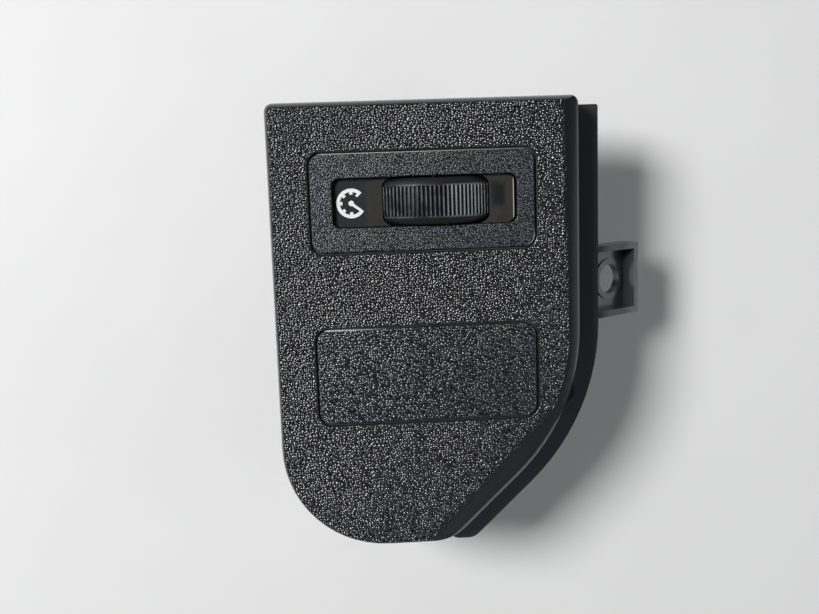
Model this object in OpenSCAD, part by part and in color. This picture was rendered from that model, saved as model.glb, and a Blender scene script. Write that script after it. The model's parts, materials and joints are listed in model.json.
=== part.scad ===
// Dash light dimmer switch: a thumbwheel rheostat module in a moulded trim panel.
// Drawn looking at the face: X to the right, Y up the panel, Z out of the face.
// Sizes are in millimetres and angles in degrees.
// "Across" is along X, "up" is along Y, "deep" is behind the face along -Z.

/* [Trim panel] */
// From the dimmer's centre line to the panel's left edge
panel_left = 30; // [27:0.1:36]
// From the dimmer's centre line to the panel's right edge
panel_right = 31.2; // [27:0.1:36]
// From the bezel's lower edge up to the panel's top edge
panel_top = 29.1; // [27:0.1:34]
// From the bezel's lower edge down to the panel's bottom edge
panel_bottom = 60.3; // [57:0.1:66]
// Thickness of the face
face_t = 2.4; // [1.8:0.1:3]
// Thickness of the side walls
wall_t = 2; // [1.4:0.1:2.6]
// Depth of the side walls behind the face
wall_depth = 12; // [10.5:0.1:15]
// Radius of the big lower left corner
lower_left_r = 21; // [15:0.5:25]
// Radius of the curve that turns the right edge into the diagonal
right_curve_r = 41.7; // [34:0.1:46]
// Where that curve starts, below the bezel's lower edge
right_curve_start = 17.2; // [14:0.1:20]
// Angle through which that curve turns
right_curve_turn = 46.3; // [40:0.1:50]
// Radius where the diagonal meets the bottom edge
bottom_corner_r = 8; // [4:0.5:12]
// Radius of the two top corners
top_corner_r = 1.7; // [1:0.1:4]
// Rounding of the front edge on the right side, the curve and the diagonal
edge_r_soft = 3.5; // [1.5:0.1:4.5]
// Rounding of the front edge along the top
edge_r_top = 1.2; // [0.4:0.1:2]
// Rounding of the front edge on the left and the bottom
edge_r_crisp = 0.8; // [0.3:0.1:1.5]

/* [Flange] */
// How far the flange stands out from the right edge
flange_w = 5.6; // [5:0.1:8]
// Thickness of the flange
flange_t = 2; // [1.4:0.1:3]
// Depth of the flange's front surface behind the face
flange_depth = 10; // [8:0.1:11]
// Distance from the panel's top edge down to the flange's upper end
flange_top_gap = 1.5; // [0.5:0.1:4]
// Radius of the flange's upper corner
flange_r = 0.5; // [0.2:0.1:2]
// How far the flange's lower end reaches below the panel's bottom edge
flange_drop = 3.1; // [1:0.1:4]
// Distance from the dimmer's centre line to the flange's lower end
flange_end_x = 4.6; // [2:0.1:8]

/* [Screw tab] */
// Tilt of the tab, its outer end deeper than its root
tab_tilt = 36; // [28:0.5:42]
// Length of the tab from the flange's edge, along its slope
tab_len = 13.2; // [12.5:0.1:15]
// Height of the tab up the panel
tab_h = 15.2; // [13:0.1:18]
// Distance of the tab's centre below the bezel's lower edge
tab_drop = 9.05; // [7:0.05:11]
// Thickness of the rim round the tab's pocket
tab_wall = 1.3; // [0.9:0.1:1.8]
// Depth of the pocket
tab_pocket = 3; // [2:0.1:4]
// Thickness of the tab's floor
tab_floor_t = 1.3; // [1:0.1:3]
// Diameter of the screw hole
tab_hole_d = 6.4; // [5:0.1:7]
// Width of the raised seat round the screw hole
tab_seat_w = 1.2; // [0.6:0.1:1.5]

/* [Dimmer bezel] */
// Corner radius of the bezel
bezel_r = 2.3; // [1:0.1:3]
// Thickness of the bezel's face
bezel_t = 2.4; // [2:0.1:3]
// Thickness of the bezel's skirt
skirt_t = 1.2; // [0.9:0.1:1.5]
// How far the skirt stands in from the bezel's edge
skirt_set = 0.1; // [0.1:0.05:0.5]
// Depth of the bezel's skirt behind the face
skirt_depth = 8; // [6:0.1:9]
// Mean width of the bezel's frame at the window's two ends
frame_w = 3.8; // [3:0.05:6]
// Distance of the window's middle to the right of the bezel's middle
window_x = 0.4; // [0:0.05:0.5]
// Gap between the wheel and each long edge of the window
window_gap = 0.3; // [0.25:0.05:0.8]
// Corner radius of the window
window_r = 1.5; // [0.5:0.1:2.5]
// How deep the window plate lies below the face
window_recess = 1.25; // [1:0.05:1.8]
// Groove between a flush piece and its opening in the panel
seat_gap = 0.35; // [0.2:0.05:0.5]

/* [Blank plug] */
// Width of the blank plug
blank_w = 43.6; // [40:0.1:46]
// Height of the blank plug
blank_h = 19; // [16:0.1:21]
// Corner radius of the blank plug
blank_r = 2.4; // [1:0.1:3]
// Distance from the bezel's lower edge down to the plug's top edge
blank_drop = 15.2; // [12:0.1:18]
// Thickness of the plug's face
blank_t = 2; // [1.5:0.1:2.6]
// Depth of the plug's skirt behind the face
blank_skirt = 6; // [5:0.1:7]

/* [Collars and snap arms] */
// Thickness of the collar round each opening, behind the face
collar_t = 1.4; // [1:0.1:1.8]
// Depth of the collars behind the face
collar_depth = 9.4; // [8.5:0.1:11]
// Thickness of a snap arm
arm_t = 1.2; // [1:0.1:1.6]
// Width of a snap arm
arm_w = 8; // [6:0.1:10]
// How far a snap arm's barb stands out
barb = 1.2; // [0.9:0.05:1.3]
// How far the ledges under a flush piece stand into its opening
ledge = 1.3; // [1:0.05:1.4]
// Height of the stiffening ribs behind the face
rib_depth = 5; // [3:0.1:7]
// Thickness of the stiffening ribs
rib_t = 1.2; // [0.8:0.1:1.6]

/* [Clip posts] */
// Depth of the clip posts behind the face
post_depth = 30; // [26:0.1:31]
// Width of a clip post
post_w = 7; // [6:0.1:8]
// Thickness of a clip post
post_t = 2.2; // [1.6:0.1:3]
// Thickness of the spring steel of a clip
clip_t = 0.5; // [0.4:0.05:0.7]
// How far a clip's legs bow out
clip_bow = 1.6; // [1:0.1:2.2]
// Length of a clip's legs
clip_len = 13; // [10:0.1:15]
// Distance of the two upper posts from the dimmer's centre line
post_x = 17; // [15:0.5:19]
// Distance of the lower left post below the blank plug
left_post_drop = 12; // [10:0.5:14]
// Distance of the lower middle post below the blank plug
low_post_drop = 17; // [14:0.5:19]

/* [Thumbwheel] */
// Diameter over the ribs
wheel_d = 28.6; // [27.6:0.1:29]
// Width of the wheel
wheel_w = 9; // [8:0.1:9.2]
// Depth of the wheel's axis behind the face
wheel_depth = 11.5; // [11:0.1:12]
// Number of grip ribs round the wheel
rib_count = 106; // [80:1:120]
// Height of a grip rib
grip_h = 0.5; // [0.3:0.05:0.7]
// Width of the ribbed band
grip_w = 5.8; // [5:0.1:7]
// How far the shoulders fall away at the wheel's sides
shoulder_drop = 1.5; // [0.8:0.1:2]
// Thickness of the rim
rim_t = 2.6; // [2.2:0.1:3]
// Thickness of the web between hub and rim
web_t = 1.6; // [1.2:0.1:2.4]
// Diameter of the hub
hub_d = 8; // [6:0.1:9]
// Diameter of the steel axle
axle_d = 3; // [2:0.1:4]
// Running clearance between the axle and the hub, on the radius
axle_fit = 0.06; // [0.03:0.01:0.09]
// Clearance round the wheel where it passes a fixed piece
wheel_gap = 0.35; // [0.25:0.05:0.5]
// Turn of the wheel each way from the middle
wheel_turn = 120; // [90:1:125]

/* [Case] */
// Room between the wheel and the case's right wall, where the heat sink stands
wheel_room = 1.5; // [1.3:0.1:3]
// Width of the lamp chamber on the left
chamber_w = 4.8; // [4.4:0.1:7]
// Thickness of the lamp chamber's wall
chamber_wall = 1; // [0.8:0.1:1.4]
// Gap between the wheel and the lamp chamber's wall
chamber_gap = 0.9; // [0.6:0.1:2]
// Room between the case's ends and the bezel's skirt, in which the snap arms bend
arm_room = 0.6; // [0.6:0.05:1.5]
// Gap between the case's long sides and the bezel's skirt
case_fit = 0.05; // [0.05:0.05:0.3]
// Width of the latches that hold the two halves of the case together
latch_w = 6; // [4:0.1:8]
// Thickness of those latches
latch_t = 1; // [0.8:0.1:1.4]
// Depth of the case's rear wall behind the face
case_depth = 33; // [32:0.1:35]
// Thickness of the case's walls
case_wall = 1.5; // [1.1:0.1:2]
// Corner radius of the case
case_r = 1; // [0.9:0.1:1.4]

/* [Window plate and lamp] */
// Thickness of the window plate's hidden border
plate_t = 1; // [0.8:0.1:1.4]
// How far that border reaches past the window
plate_lip = 1.4; // [1:0.1:2]
// Gap between the plate's raised part and the window's edge
plate_fit = 0.15; // [0.1:0.05:0.3]
// Gap between the plate's raised part and the window's right end
plate_end_gap = 0.55; // [0.3:0.05:1]
// Thickness of the rim along the plate's right end
rim_lip_t = 0.35; // [0.2:0.05:0.6]
// Height of that rim above the plate
rim_lip_h = 0.6; // [0.3:0.05:0.9]
// Distance of the lit symbol's centre from the window's left end
symbol_in = 3.7; // [3.1:0.1:5]
// Size of the light guide behind the symbol
guide_size = 5.8; // [4:0.1:6]
// Diameter of the lamp's glass
lamp_d = 3.6; // [3:0.1:3.9]
// Length of the lamp's glass
lamp_len = 9; // [7:0.1:10]
// Gap between the lamp holder and the walls of its chamber
holder_gap = 0.15; // [0.1:0.05:0.4]
// How far the lamp holder's rim stands out behind the case
holder_rim = 1.35; // [0.8:0.05:2]

/* [Circuit] */
// Thickness of the circuit board
board_t = 1.2; // [1:0.1:1.6]
// Clearance under the board for its solder joints
board_gap = 0.4; // [0.2:0.05:0.6]
// Gap between the board and the wheel
board_room = 0.6; // [0.5:0.05:1.2]
// Outer radius of the resistor track
track_r = 9.8; // [9:0.1:10]
// Width of the resistor track
track_w = 1.5; // [1:0.1:2]
// Outer radius of the collector ring
ring_r = 6.2; // [5.6:0.1:7]
// Width of the collector ring
ring_w = 1.4; // [1:0.1:1.8]
// Thickness of the track and the ring
track_t = 0.25; // [0.15:0.05:0.35]
// Thickness of the wiper's spring metal
wiper_t = 0.3; // [0.2:0.05:0.4]
// Thickness of the heat sink
sink_t = 0.8; // [0.6:0.1:1]

/* [Connector] */
// Number of terminals
terminal_count = 4; // [4:1:4]
// Distance from one terminal to the next
terminal_pitch = 4.2; // [3.8:0.1:4.4]
// Width of a terminal's blade
blade_w = 2.3; // [1.8:0.1:2.8]
// Thickness of a terminal's blade
blade_t = 0.8; // [0.6:0.1:0.8]
// Outer height of the connector's shroud
shroud_h = 11.2; // [10:0.1:12]
// Wall of the connector's shroud
shroud_wall = 1.1; // [0.9:0.1:1.5]
// How far the shroud stands out behind the case
shroud_out = 4; // [3:0.1:8]

/* [Hidden] */
$fn = 64;
// Overlap of a cutter past the surface that it cuts
over = 1;
// How far a wall or rib runs into the piece that it stands on
bite = 0.2;

// The case is as wide as what stands in it, and the bezel as wide as its skirt round the case
wheel_r = wheel_d / 2;
wheel_x = (chamber_w + chamber_wall + chamber_gap - wheel_room) / 2;
case_w = 2 * (wheel_x + wheel_r + wheel_room + case_wall);
case_h = wheel_w + 2 * (board_gap + board_t + board_room + case_wall);
skirt_in = [case_w + 2 * arm_room, case_h + 2 * case_fit];
skirt_out = skirt_in + [2 * skirt_t, 2 * skirt_t];
bezel_w = skirt_out.x + 2 * skirt_set;
bezel_h = skirt_out.y + 2 * skirt_set;
window_w = bezel_w - 2 * frame_w;
window_h = wheel_w + 2 * window_gap;
symbol_x = window_x - window_w / 2 + symbol_in;
shroud_depth = case_depth + shroud_out;

// The finished part stands on z = 0, centred on its own footprint
tab_end_x = panel_right + flange_w + tab_len * cos(tab_tilt);
part_shift = [
    (panel_left - tab_end_x) / 2,
    (panel_bottom + flange_drop - panel_top) / 2,
    shroud_depth
];

// Places inside the dimmer module, seen from the face
module_y = bezel_h / 2;
axis_z = -wheel_depth;
case_top_z = -bezel_t - plate_t;
case_in_x = case_w / 2 - case_wall;
case_low_y = module_y - case_h / 2 + case_wall;
case_high_y = module_y + case_h / 2 - case_wall;
case_floor_z = -case_depth + case_wall;
board_y = case_low_y + board_gap;
board_top_y = board_y + board_t;
wheel_low_y = module_y - wheel_w / 2;
wheel_high_y = module_y + wheel_w / 2;

// Wheel and axle
shoulder_set = 0.15;
axle_end = 0.5;
washer_t = 0.4;
washer_gap = 0.3;
washer_set = 0.5;
washer_fit = 0.1;
boss_r = axle_d / 2 + 1.3;
peg_x = 3.2;
peg_r = 0.7;
wiper_r = 7.3;

// Lugs on the case that click into the bezel's skirt
catch_places = [-12, 12];

// Latches at the case's ends
latch_z = -22;
latch_drop = 4;
latch_root = 4;
latch_bar = 1.2;

// Lamp chamber on the left of the wheel
chamber_x = wheel_x - wheel_r - chamber_gap - chamber_wall;
lamp_x = (-case_in_x + chamber_x) / 2;
lamp_gap = 0.7;
lamp_base = 3;
guide_end_z = -10;
lamp_z = guide_end_z - lamp_gap;
chamber_end_z = lamp_z - lamp_len - lamp_base - 1;
holder_d = chamber_w - 2 * holder_gap;
holder_rim_t = 2;

// Board, and the parts that stand on it
terminal_row = [
    for (i = [0:terminal_count - 1]) wheel_x + (i - (terminal_count - 1) / 2) * terminal_pitch
];
board_left = chamber_x + chamber_wall + 0.2;
board_right = case_in_x - sink_t - 0.4;
board_end_z = axis_z + ring_r + 0.4;
part_x = board_left + 1.7;
capacitor_r = 2.1;
capacitor_len = 7;
capacitor_z = case_floor_z + capacitor_r + 0.6;
resistor_len = 4.6;
lead_out = 1;
resistor_z = capacitor_z + capacitor_r + 1.3 + lead_out + resistor_len / 2;
transistor_t = 2.8;
transistor_x = case_in_x - sink_t - transistor_t;

// Connector behind the wheel
block_lift = 0.1;
block_y = board_top_y + block_lift + shroud_h / 2;
block_front_z = axis_z - wheel_r - 2;
block_flange = 0.7;
shroud_w = terminal_pitch * (terminal_count - 1) + blade_w + 2 * shroud_wall + 0.6;
socket_z = block_front_z - 3.2;
socket_fit = 0.1;
blade_fit = 0.05;
leg_w = 1.2;
leg_t = 0.6;
leg_z = block_front_z + 0.2;

// Openings in the panel
dimmer_opening = [bezel_w + 2 * seat_gap, bezel_h + 2 * seat_gap];
blank_opening = [blank_w + 2 * seat_gap, blank_h + 2 * seat_gap];
blank_y = -blank_drop - blank_h / 2;

// Clip posts: two above the dimmer, two below the blank plug
top_post_y = (panel_top - wall_t + bezel_h + seat_gap + collar_t) / 2;
post_places = [
    [-post_x, top_post_y],
    [post_x, top_post_y],
    [-post_x, -blank_drop - blank_h - left_post_drop],
    [0, -blank_drop - blank_h - low_post_drop]
];

// Ribs behind the face
middle_ribs = [-12, 0, 12];
top_ribs = [-7, 7];
low_ribs = [-8, 10];
low_rib_len = 9;

// Screw tab
tab_hole_x = tab_len / 2 + 0.3;
tab_seat_h = 0.3;

// Points of an arc about c from angle a0 to a1, with its own radius along X and along Y
function arc(c, rx, ry, a0, a1, steps) =
    [for (i = [0:steps]) c + [rx * cos(a0 + (a1 - a0) * i / steps), ry * sin(a0 + (a1 - a0) * i / steps)]];

// Centre of the curve on the panel's right side
curve_c = [panel_right - right_curve_r, -right_curve_start];

// Outline of the panel, taken in by side (left and bottom), top and soft (right, curve and diagonal)
function panel_outline(side, top, soft) =
    let (
        trx = max(top_corner_r - soft, 0.2),
        tlx = max(top_corner_r - side, 0.2),
        ty = max(top_corner_r - top, 0.2),
        br = max(bottom_corner_r - (side + soft) / 2, 0.5),
        by = -panel_bottom + side + br,
        reach = cos(right_curve_turn) * curve_c.x - sin(right_curve_turn) * curve_c.y
            + right_curve_r - soft - br,
        bx = (reach + sin(right_curve_turn) * by) / cos(right_curve_turn),
        lr = lower_left_r - side
    )
    concat(
        arc([panel_right - soft - trx, panel_top - top - ty], trx, ty, 0, 90, 5),
        arc([-panel_left + side + tlx, panel_top - top - ty], tlx, ty, 90, 180, 5),
        arc([-panel_left + lower_left_r, -panel_bottom + lower_left_r], lr, lr, 180, 270, 14),
        arc([bx, by], br, br, 270, 360 - right_curve_turn, 6),
        arc(curve_c, right_curve_r - soft, right_curve_r - soft, 360 - right_curve_turn, 360, 12)
    );

// A solid through stacked rings, lowest first; each ring is [z, points]
module stack(rings) {
    n = len(rings[0][1]);
    points = [for (ring = rings) for (p = ring[1]) [p.x, p.y, ring[0]]];
    sides = [
        for (k = [0:len(rings) - 2]) for (i = [0:n - 1])
            let (a = k * n + i, b = k * n + (i + 1) % n)
            each [[a, a + n, b + n], [a, b + n, b]]
    ];
    bottom = [for (i = [0:n - 1]) i];
    top = [for (i = [n - 1:-1:0]) (len(rings) - 1) * n + i];
    polyhedron(points, concat([bottom], sides, [top]));
}

// Upright prism with rounded corners, its front face at z = 0, growing backwards
module slab(size, r, depth) {
    translate([0, 0, -depth])
        linear_extrude(depth)
            rounded(size, r);
}

module rounded(size, r) {
    w = size.x / 2 - r;
    h = size.y / 2 - r;
    polygon(concat(
        arc([w, h], r, r, 0, 90, 8),
        arc([-w, h], r, r, 90, 180, 8),
        arc([-w, -h], r, r, 180, 270, 8),
        arc([w, -h], r, r, 270, 360, 8)
    ));
}

// Box between two corners
module block(low, high) {
    translate(low) cube(high - low);
}

// Profile drawn in X and Z, made h thick along Y from y
module side_profile(points, y, h) {
    translate([0, y + h, 0])
        rotate([90, 0, 0])
            linear_extrude(h)
                polygon(points);
}

// Profile drawn in Y and Z, made w wide along X from x
module end_profile(points, x, w) {
    translate([x, 0, 0])
        rotate([90, 0, 90])
            linear_extrude(w)
                polygon(points);
}

// Cylinder along Y from y, h long
module bar(x, z, r, y, h) {
    translate([x, y + h, z])
        rotate([90, 0, 0])
            cylinder(h = h, r = r);
}

module in_place() {
    translate(part_shift) children();
}

// Outer body of the panel with its rounded front edge
module panel_body() {
    steps = 10;
    front = [
        for (k = [0:steps])
            let (a = 90 * k / steps, in = 1 - cos(a))
            [
                -edge_r_soft * (1 - sin(a)),
                panel_outline(edge_r_crisp * in, edge_r_top * in, edge_r_soft * in)
            ]
    ];
    stack(concat([[-wall_depth, panel_outline(0, 0, 0)]], front));
}

// Flange that the neighbouring panel covers, with its lower end rounded off
module flange() {
    low = -panel_bottom - flange_drop;
    out = right_curve_r + flange_w;
    end_r = 3;
    tip_r = 1.5;
    reach = cos(right_curve_turn) * curve_c.x - sin(right_curve_turn) * curve_c.y + out - end_r;
    by = low + end_r;
    bx = (reach + sin(right_curve_turn) * by) / cos(right_curve_turn);
    top = panel_top - flange_top_gap;
    difference() {
        translate([0, 0, -flange_depth - flange_t])
            linear_extrude(flange_t)
                polygon(concat(
                    [[panel_right - wall_t, top]],
                    arc([panel_right + flange_w - flange_r, top - flange_r], flange_r, flange_r, 90, 0, 3),
                    arc(curve_c, out, out, 0, -right_curve_turn, 12),
                    arc([bx, by], end_r, end_r, -right_curve_turn, -90, 4),
                    arc([flange_end_x + tip_r, low + tip_r], tip_r, tip_r, 270, 180, 3),
                    [[flange_end_x, -panel_bottom + wall_t]]
                ));
        panel_cavity();
    }
}

// Hollow behind the face
module panel_cavity() {
    translate([0, 0, -wall_depth - 2 * over])
        linear_extrude(wall_depth - face_t + 2 * over)
            polygon(panel_outline(wall_t, wall_t, wall_t));
}

// Places a piece on the sloping tab: X down the slope, Z out of the pocket
module on_tab() {
    translate([panel_right + flange_w, -tab_drop, -flange_depth])
        rotate([0, tab_tilt, 0])
            children();
}

// Tilted tray, open towards the flange, with the screw hole in its floor
module screw_tab() {
    depth = tab_pocket + tab_floor_t;
    under_flange = 1.2;
    seat_r = tab_hole_d / 2 + tab_seat_w;
    root_x = panel_right + flange_w - depth * sin(tab_tilt);
    root_z = -flange_depth - depth * cos(tab_tilt);
    on_tab()
        difference() {
            union() {
                difference() {
                    block([0, -tab_h / 2, -depth], [tab_len, tab_h / 2, 0]);
                    block(
                        [-over, -tab_h / 2 + tab_wall, -tab_pocket],
                        [tab_len - tab_wall, tab_h / 2 - tab_wall, over]
                    );
                }
                block([-under_flange, -tab_h / 2, -depth], [bite, tab_h / 2, -tab_pocket]);
                translate([tab_hole_x, 0, -tab_pocket - tab_seat_h])
                    cylinder(h = 2 * tab_seat_h, r = seat_r);
            }
            translate([tab_hole_x, 0, -depth - over])
                cylinder(h = depth + 2 * over, r = tab_hole_d / 2);
        }
    // Gussets that carry the tab on the panel's side wall
    for (y = [-tab_drop - tab_h / 2, -tab_drop + tab_h / 2 - tab_wall])
        side_profile([
            [panel_right - wall_t / 2, -flange_depth - flange_t / 2],
            [panel_right + flange_w - tab_wall, -flange_depth - flange_t / 2],
            [root_x + 2 * bite, root_z + bite],
            [panel_right - wall_t / 2, -wall_depth]
        ], y, tab_wall);
}

// Wall round an opening, behind the face, with four ledges under the flush piece's skirt
module collar(y, opening, r, skirt) {
    ledge_w = 6;
    ledge_t = 1.2;
    ledge_gap = 0.05;
    ledge_h = ledge + bite;
    translate([0, y, -face_t + bite])
        difference() {
            slab(opening + [2 * collar_t, 2 * collar_t], r + collar_t, collar_depth - face_t + bite);
            translate([0, 0, over])
                slab(opening, r, collar_depth + 2 * over);
        }
    for (x = [-opening.x / 3, opening.x / 3], s = [-1, 1])
        translate([x, y + s * (opening.y / 2 + bite - ledge_h / 2), -skirt - ledge_gap - ledge_t / 2])
            cube([ledge_w, ledge_h, ledge_t], center = true);
}

// Flat post that a spring clip grips, with a foot that spreads the load
module clip_post(place) {
    foot_h = 6;
    foot_w = 2;
    translate([place.x - post_w / 2, place.y - post_t / 2, -post_depth])
        cube([post_w, post_t, post_depth - face_t + bite]);
    for (s = [-1, 1])
        end_profile([
            [place.y, -face_t],
            [place.y + s * (post_t / 2 + foot_w), -face_t],
            [place.y + s * post_t / 2, -face_t - foot_h],
            [place.y, -face_t - foot_h]
        ], place.x - rib_t / 2, rib_t);
}

// Rib up the panel at x, from y0 to y1
module stiffener(x, y0, y1) {
    block([x - rib_t / 2, y0, -face_t - rib_depth], [x + rib_t / 2, y1, -face_t + bite]);
}

// Rib across the panel at y, from x0 to x1
module cross_stiffener(y, x0, x1) {
    block([x0, y - rib_t / 2, -face_t - rib_depth], [x1, y + rib_t / 2, -face_t + bite]);
}

module trim_panel() {
    dimmer_edge = dimmer_opening / 2 + [collar_t, collar_t];
    blank_edge = blank_opening / 2 + [collar_t, collar_t];
    blank_low = blank_y - blank_edge.y;
    color("#26282a") in_place() {
        difference() {
            panel_body();
            panel_cavity();
            translate([0, module_y, over])
                slab(dimmer_opening, bezel_r + seat_gap, face_t + 2 * over);
            translate([0, blank_y, over])
                slab(blank_opening, blank_r + seat_gap, face_t + 2 * over);
        }
        flange();
        screw_tab();
        collar(module_y, dimmer_opening, bezel_r + seat_gap, skirt_depth);
        collar(blank_y, blank_opening, blank_r + seat_gap, blank_skirt);
        for (place = post_places) clip_post(place);
        for (x = middle_ribs)
            stiffener(x, blank_y + blank_edge.y - bite, module_y - dimmer_edge.y + bite);
        for (x = top_ribs)
            stiffener(x, module_y + dimmer_edge.y - bite, panel_top - wall_t + bite);
        for (x = low_ribs)
            stiffener(x, blank_low - low_rib_len, blank_low + bite);
        cross_stiffener(module_y, -panel_left + wall_t - bite, -dimmer_edge.x + bite);
        cross_stiffener(module_y, dimmer_edge.x - bite, panel_right - wall_t + bite);
        cross_stiffener(blank_y, -panel_left + wall_t - bite, -blank_edge.x + bite);
        // The curve has already taken the right wall in at this height
        cross_stiffener(blank_y, blank_edge.x - bite, curve_x(blank_y) - wall_t + bite);
    }
}

// Where the panel's curved right side lies at the height y
function curve_x(y) = curve_c.x + sqrt(pow(right_curve_r, 2) - pow(y - curve_c.y, 2));

// Snap arm on the side s of a flush piece: hangs from z_top and hooks behind a collar
module snap_arm(x_out, s, y, z_top) {
    hook_gap = 0.25;
    hook_len = 2.6;
    hook_land = 0.5;
    tip_set = 0.4;
    hook_z = -collar_depth - hook_gap;
    tip_z = hook_z - hook_len;
    side_profile([
        [s * x_out, z_top],
        [s * (x_out - arm_t), z_top],
        [s * (x_out - arm_t), tip_z],
        [s * (x_out - tip_set), tip_z],
        [s * (x_out + barb), hook_z - hook_land],
        [s * (x_out + barb), hook_z],
        [s * x_out, hook_z]
    ], y - arm_w / 2, arm_w);
}

module blank_plug() {
    set = 0.4;
    rib_rise = 1;
    outer = [blank_w - 2 * set, blank_h - 2 * set];
    inner = outer - [2 * skirt_t, 2 * skirt_t];
    rib_y = inner.y / 2 + bite;
    color("#2b2d2f") in_place() {
        translate([0, blank_y, 0]) {
            slab([blank_w, blank_h], blank_r, blank_t);
            difference() {
                slab(outer, blank_r - set, blank_skirt);
                translate([0, 0, over])
                    slab(inner, case_r, blank_skirt + 2 * over);
            }
            for (x = [-blank_w / 6, blank_w / 6])
                block(
                    [x - rib_t / 2, -rib_y, -blank_skirt + rib_rise],
                    [x + rib_t / 2, rib_y, -blank_t + bite]
                );
        }
        for (s = [-1, 1])
            snap_arm(outer.x / 2, s, blank_y, -blank_t + bite);
    }
}

module dimmer_bezel() {
    catch_w = 5;
    catch_h = 2.2;
    catch_z = -skirt_depth + 1.2;
    color("#2a2c2e") in_place() {
        difference() {
            translate([0, module_y, 0]) {
                slab([bezel_w, bezel_h], bezel_r, bezel_t);
                difference() {
                    slab(skirt_out, bezel_r - skirt_set, skirt_depth);
                    translate([0, 0, over])
                        slab(skirt_in, case_r, skirt_depth + 2 * over);
                }
            }
            translate([window_x, module_y, over])
                slab([window_w, window_h], window_r, bezel_t + 2 * over);
            // Catch windows for the case's lugs
            for (x = catch_places)
                block(
                    [x - catch_w / 2, -over, catch_z],
                    [x + catch_w / 2, bezel_h + over, catch_z + catch_h]
                );
        }
        for (s = [-1, 1])
            snap_arm(skirt_out.x / 2, s, module_y, -skirt_depth + 2 * bite);
    }
}

// Section through the wheel's rounded side from the radius r0 and the height y0 outwards,
// with the room rise above the shoulder and the room g beside it
function wheel_side(r0, y0, rise, g) =
    let (
        shoulder_w = (wheel_w - grip_w) / 2,
        low_r = wheel_r - shoulder_set - shoulder_drop,
        out_r = low_r + shoulder_drop + rise
    )
    concat(
        [[r0, y0]],
        y0 < grip_w / 2 ? [[out_r, y0]] : [],
        arc([low_r, grip_w / 2], shoulder_drop + rise, shoulder_w + g, 0, 90, 6),
        [[r0, wheel_w / 2 + g]]
    );

// Smoked plate that fills the window round the wheel, with a bright rim along its right end
module window_plate() {
    border = [window_w + 2 * plate_lip, window_h + 2 * plate_lip];
    left_x = window_x - window_w / 2 + plate_fit;
    right_x = window_x + window_w / 2 - plate_end_gap;
    face = [right_x - left_x, window_h - 2 * plate_fit];
    face_r = window_r - plate_fit;
    rim_y = face.y / 2 - 0.4;
    color("#33343a") in_place()
        difference() {
            union() {
                translate([window_x, module_y, -bezel_t])
                    slab(border, window_r, plate_t);
                translate([(left_x + right_x) / 2, module_y, -window_recess])
                    slab(face, face_r, bezel_t - window_recess + bite);
                translate([(left_x + right_x) / 2, module_y, -window_recess])
                    intersection() {
                        difference() {
                            translate([0, 0, rim_lip_h])
                                slab(face, face_r, rim_lip_h + bite);
                            translate([-rim_lip_t, 0, rim_lip_h + over])
                                slab(face, face_r, rim_lip_h + bite + 2 * over);
                        }
                        block([0, -rim_y, -over], [face.x, rim_y, rim_lip_h + over]);
                    }
            }
            // Opening for the wheel, which follows its rounded sides
            translate([wheel_x, module_y, axis_z])
                rotate([90, 0, 0])
                    for (s = [0, 1])
                        mirror([0, 0, s])
                            rotate_extrude()
                                polygon(wheel_side(0, 0, wheel_gap + shoulder_set, wheel_gap));
        }
}

// Outline of the ribbed band: a crest and a valley for each rib
module ribbed_disc() {
    pitch = 360 / rib_count;
    polygon([
        for (i = [0:rib_count - 1])
            each [
                for (f = [[-0.34, grip_h], [-0.13, 0], [0.13, 0], [0.34, grip_h]])
                    (wheel_r - f[1]) * [cos((i + f[0]) * pitch), sin((i + f[0]) * pitch)]
            ]
    ]);
}

module thumbwheel() {
    rim_in = wheel_r - rim_t;
    lug_half = 1.2;
    lug_h = 2.2;
    side_gap = 0.6;
    color("#2e3033") in_place()
        translate([wheel_x, module_y, axis_z])
            rotate([90, 0, 0])
                difference() {
                    union() {
                        translate([0, 0, -grip_w / 2])
                            linear_extrude(grip_w)
                                difference() {
                                    ribbed_disc();
                                    circle(r = rim_in);
                                }
                        for (s = [0, 1])
                            mirror([0, 0, s])
                                rotate_extrude()
                                    polygon(wheel_side(rim_in, grip_w / 2, 0, 0));
                        cylinder(h = web_t, r = rim_in + 2 * bite, center = true);
                        cylinder(h = wheel_w, r = hub_d / 2, center = true);
                        // Lug that meets the case's stop at each end of the turn
                        translate([-lug_half, rim_in - lug_h, -wheel_w / 2 + side_gap])
                            cube([2 * lug_half, lug_h + 2 * bite, wheel_w / 2 - side_gap]);
                        // Pegs that carry the wiper
                        for (x = [-1, 1])
                            translate([x * peg_x, -wiper_r, 0])
                                cylinder(h = web_t / 2 + 1, r = peg_r);
                    }
                    cylinder(h = wheel_w + 2 * over, r = axle_d / 2 + axle_fit, center = true);
                }
}

module wheel_axle() {
    color("silver") in_place()
        bar(wheel_x, axis_z, axle_d / 2, case_low_y - case_wall + axle_end, case_h - 2 * axle_end);
}

// Spring washer that gives the wheel its drag
module friction_washer() {
    color("#b0a070") in_place()
        difference() {
            bar(wheel_x, axis_z, hub_d / 2 - washer_set, wheel_high_y + washer_gap, washer_t);
            bar(wheel_x, axis_z, axle_d / 2 + washer_fit, wheel_high_y, washer_t + over);
        }
}

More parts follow.
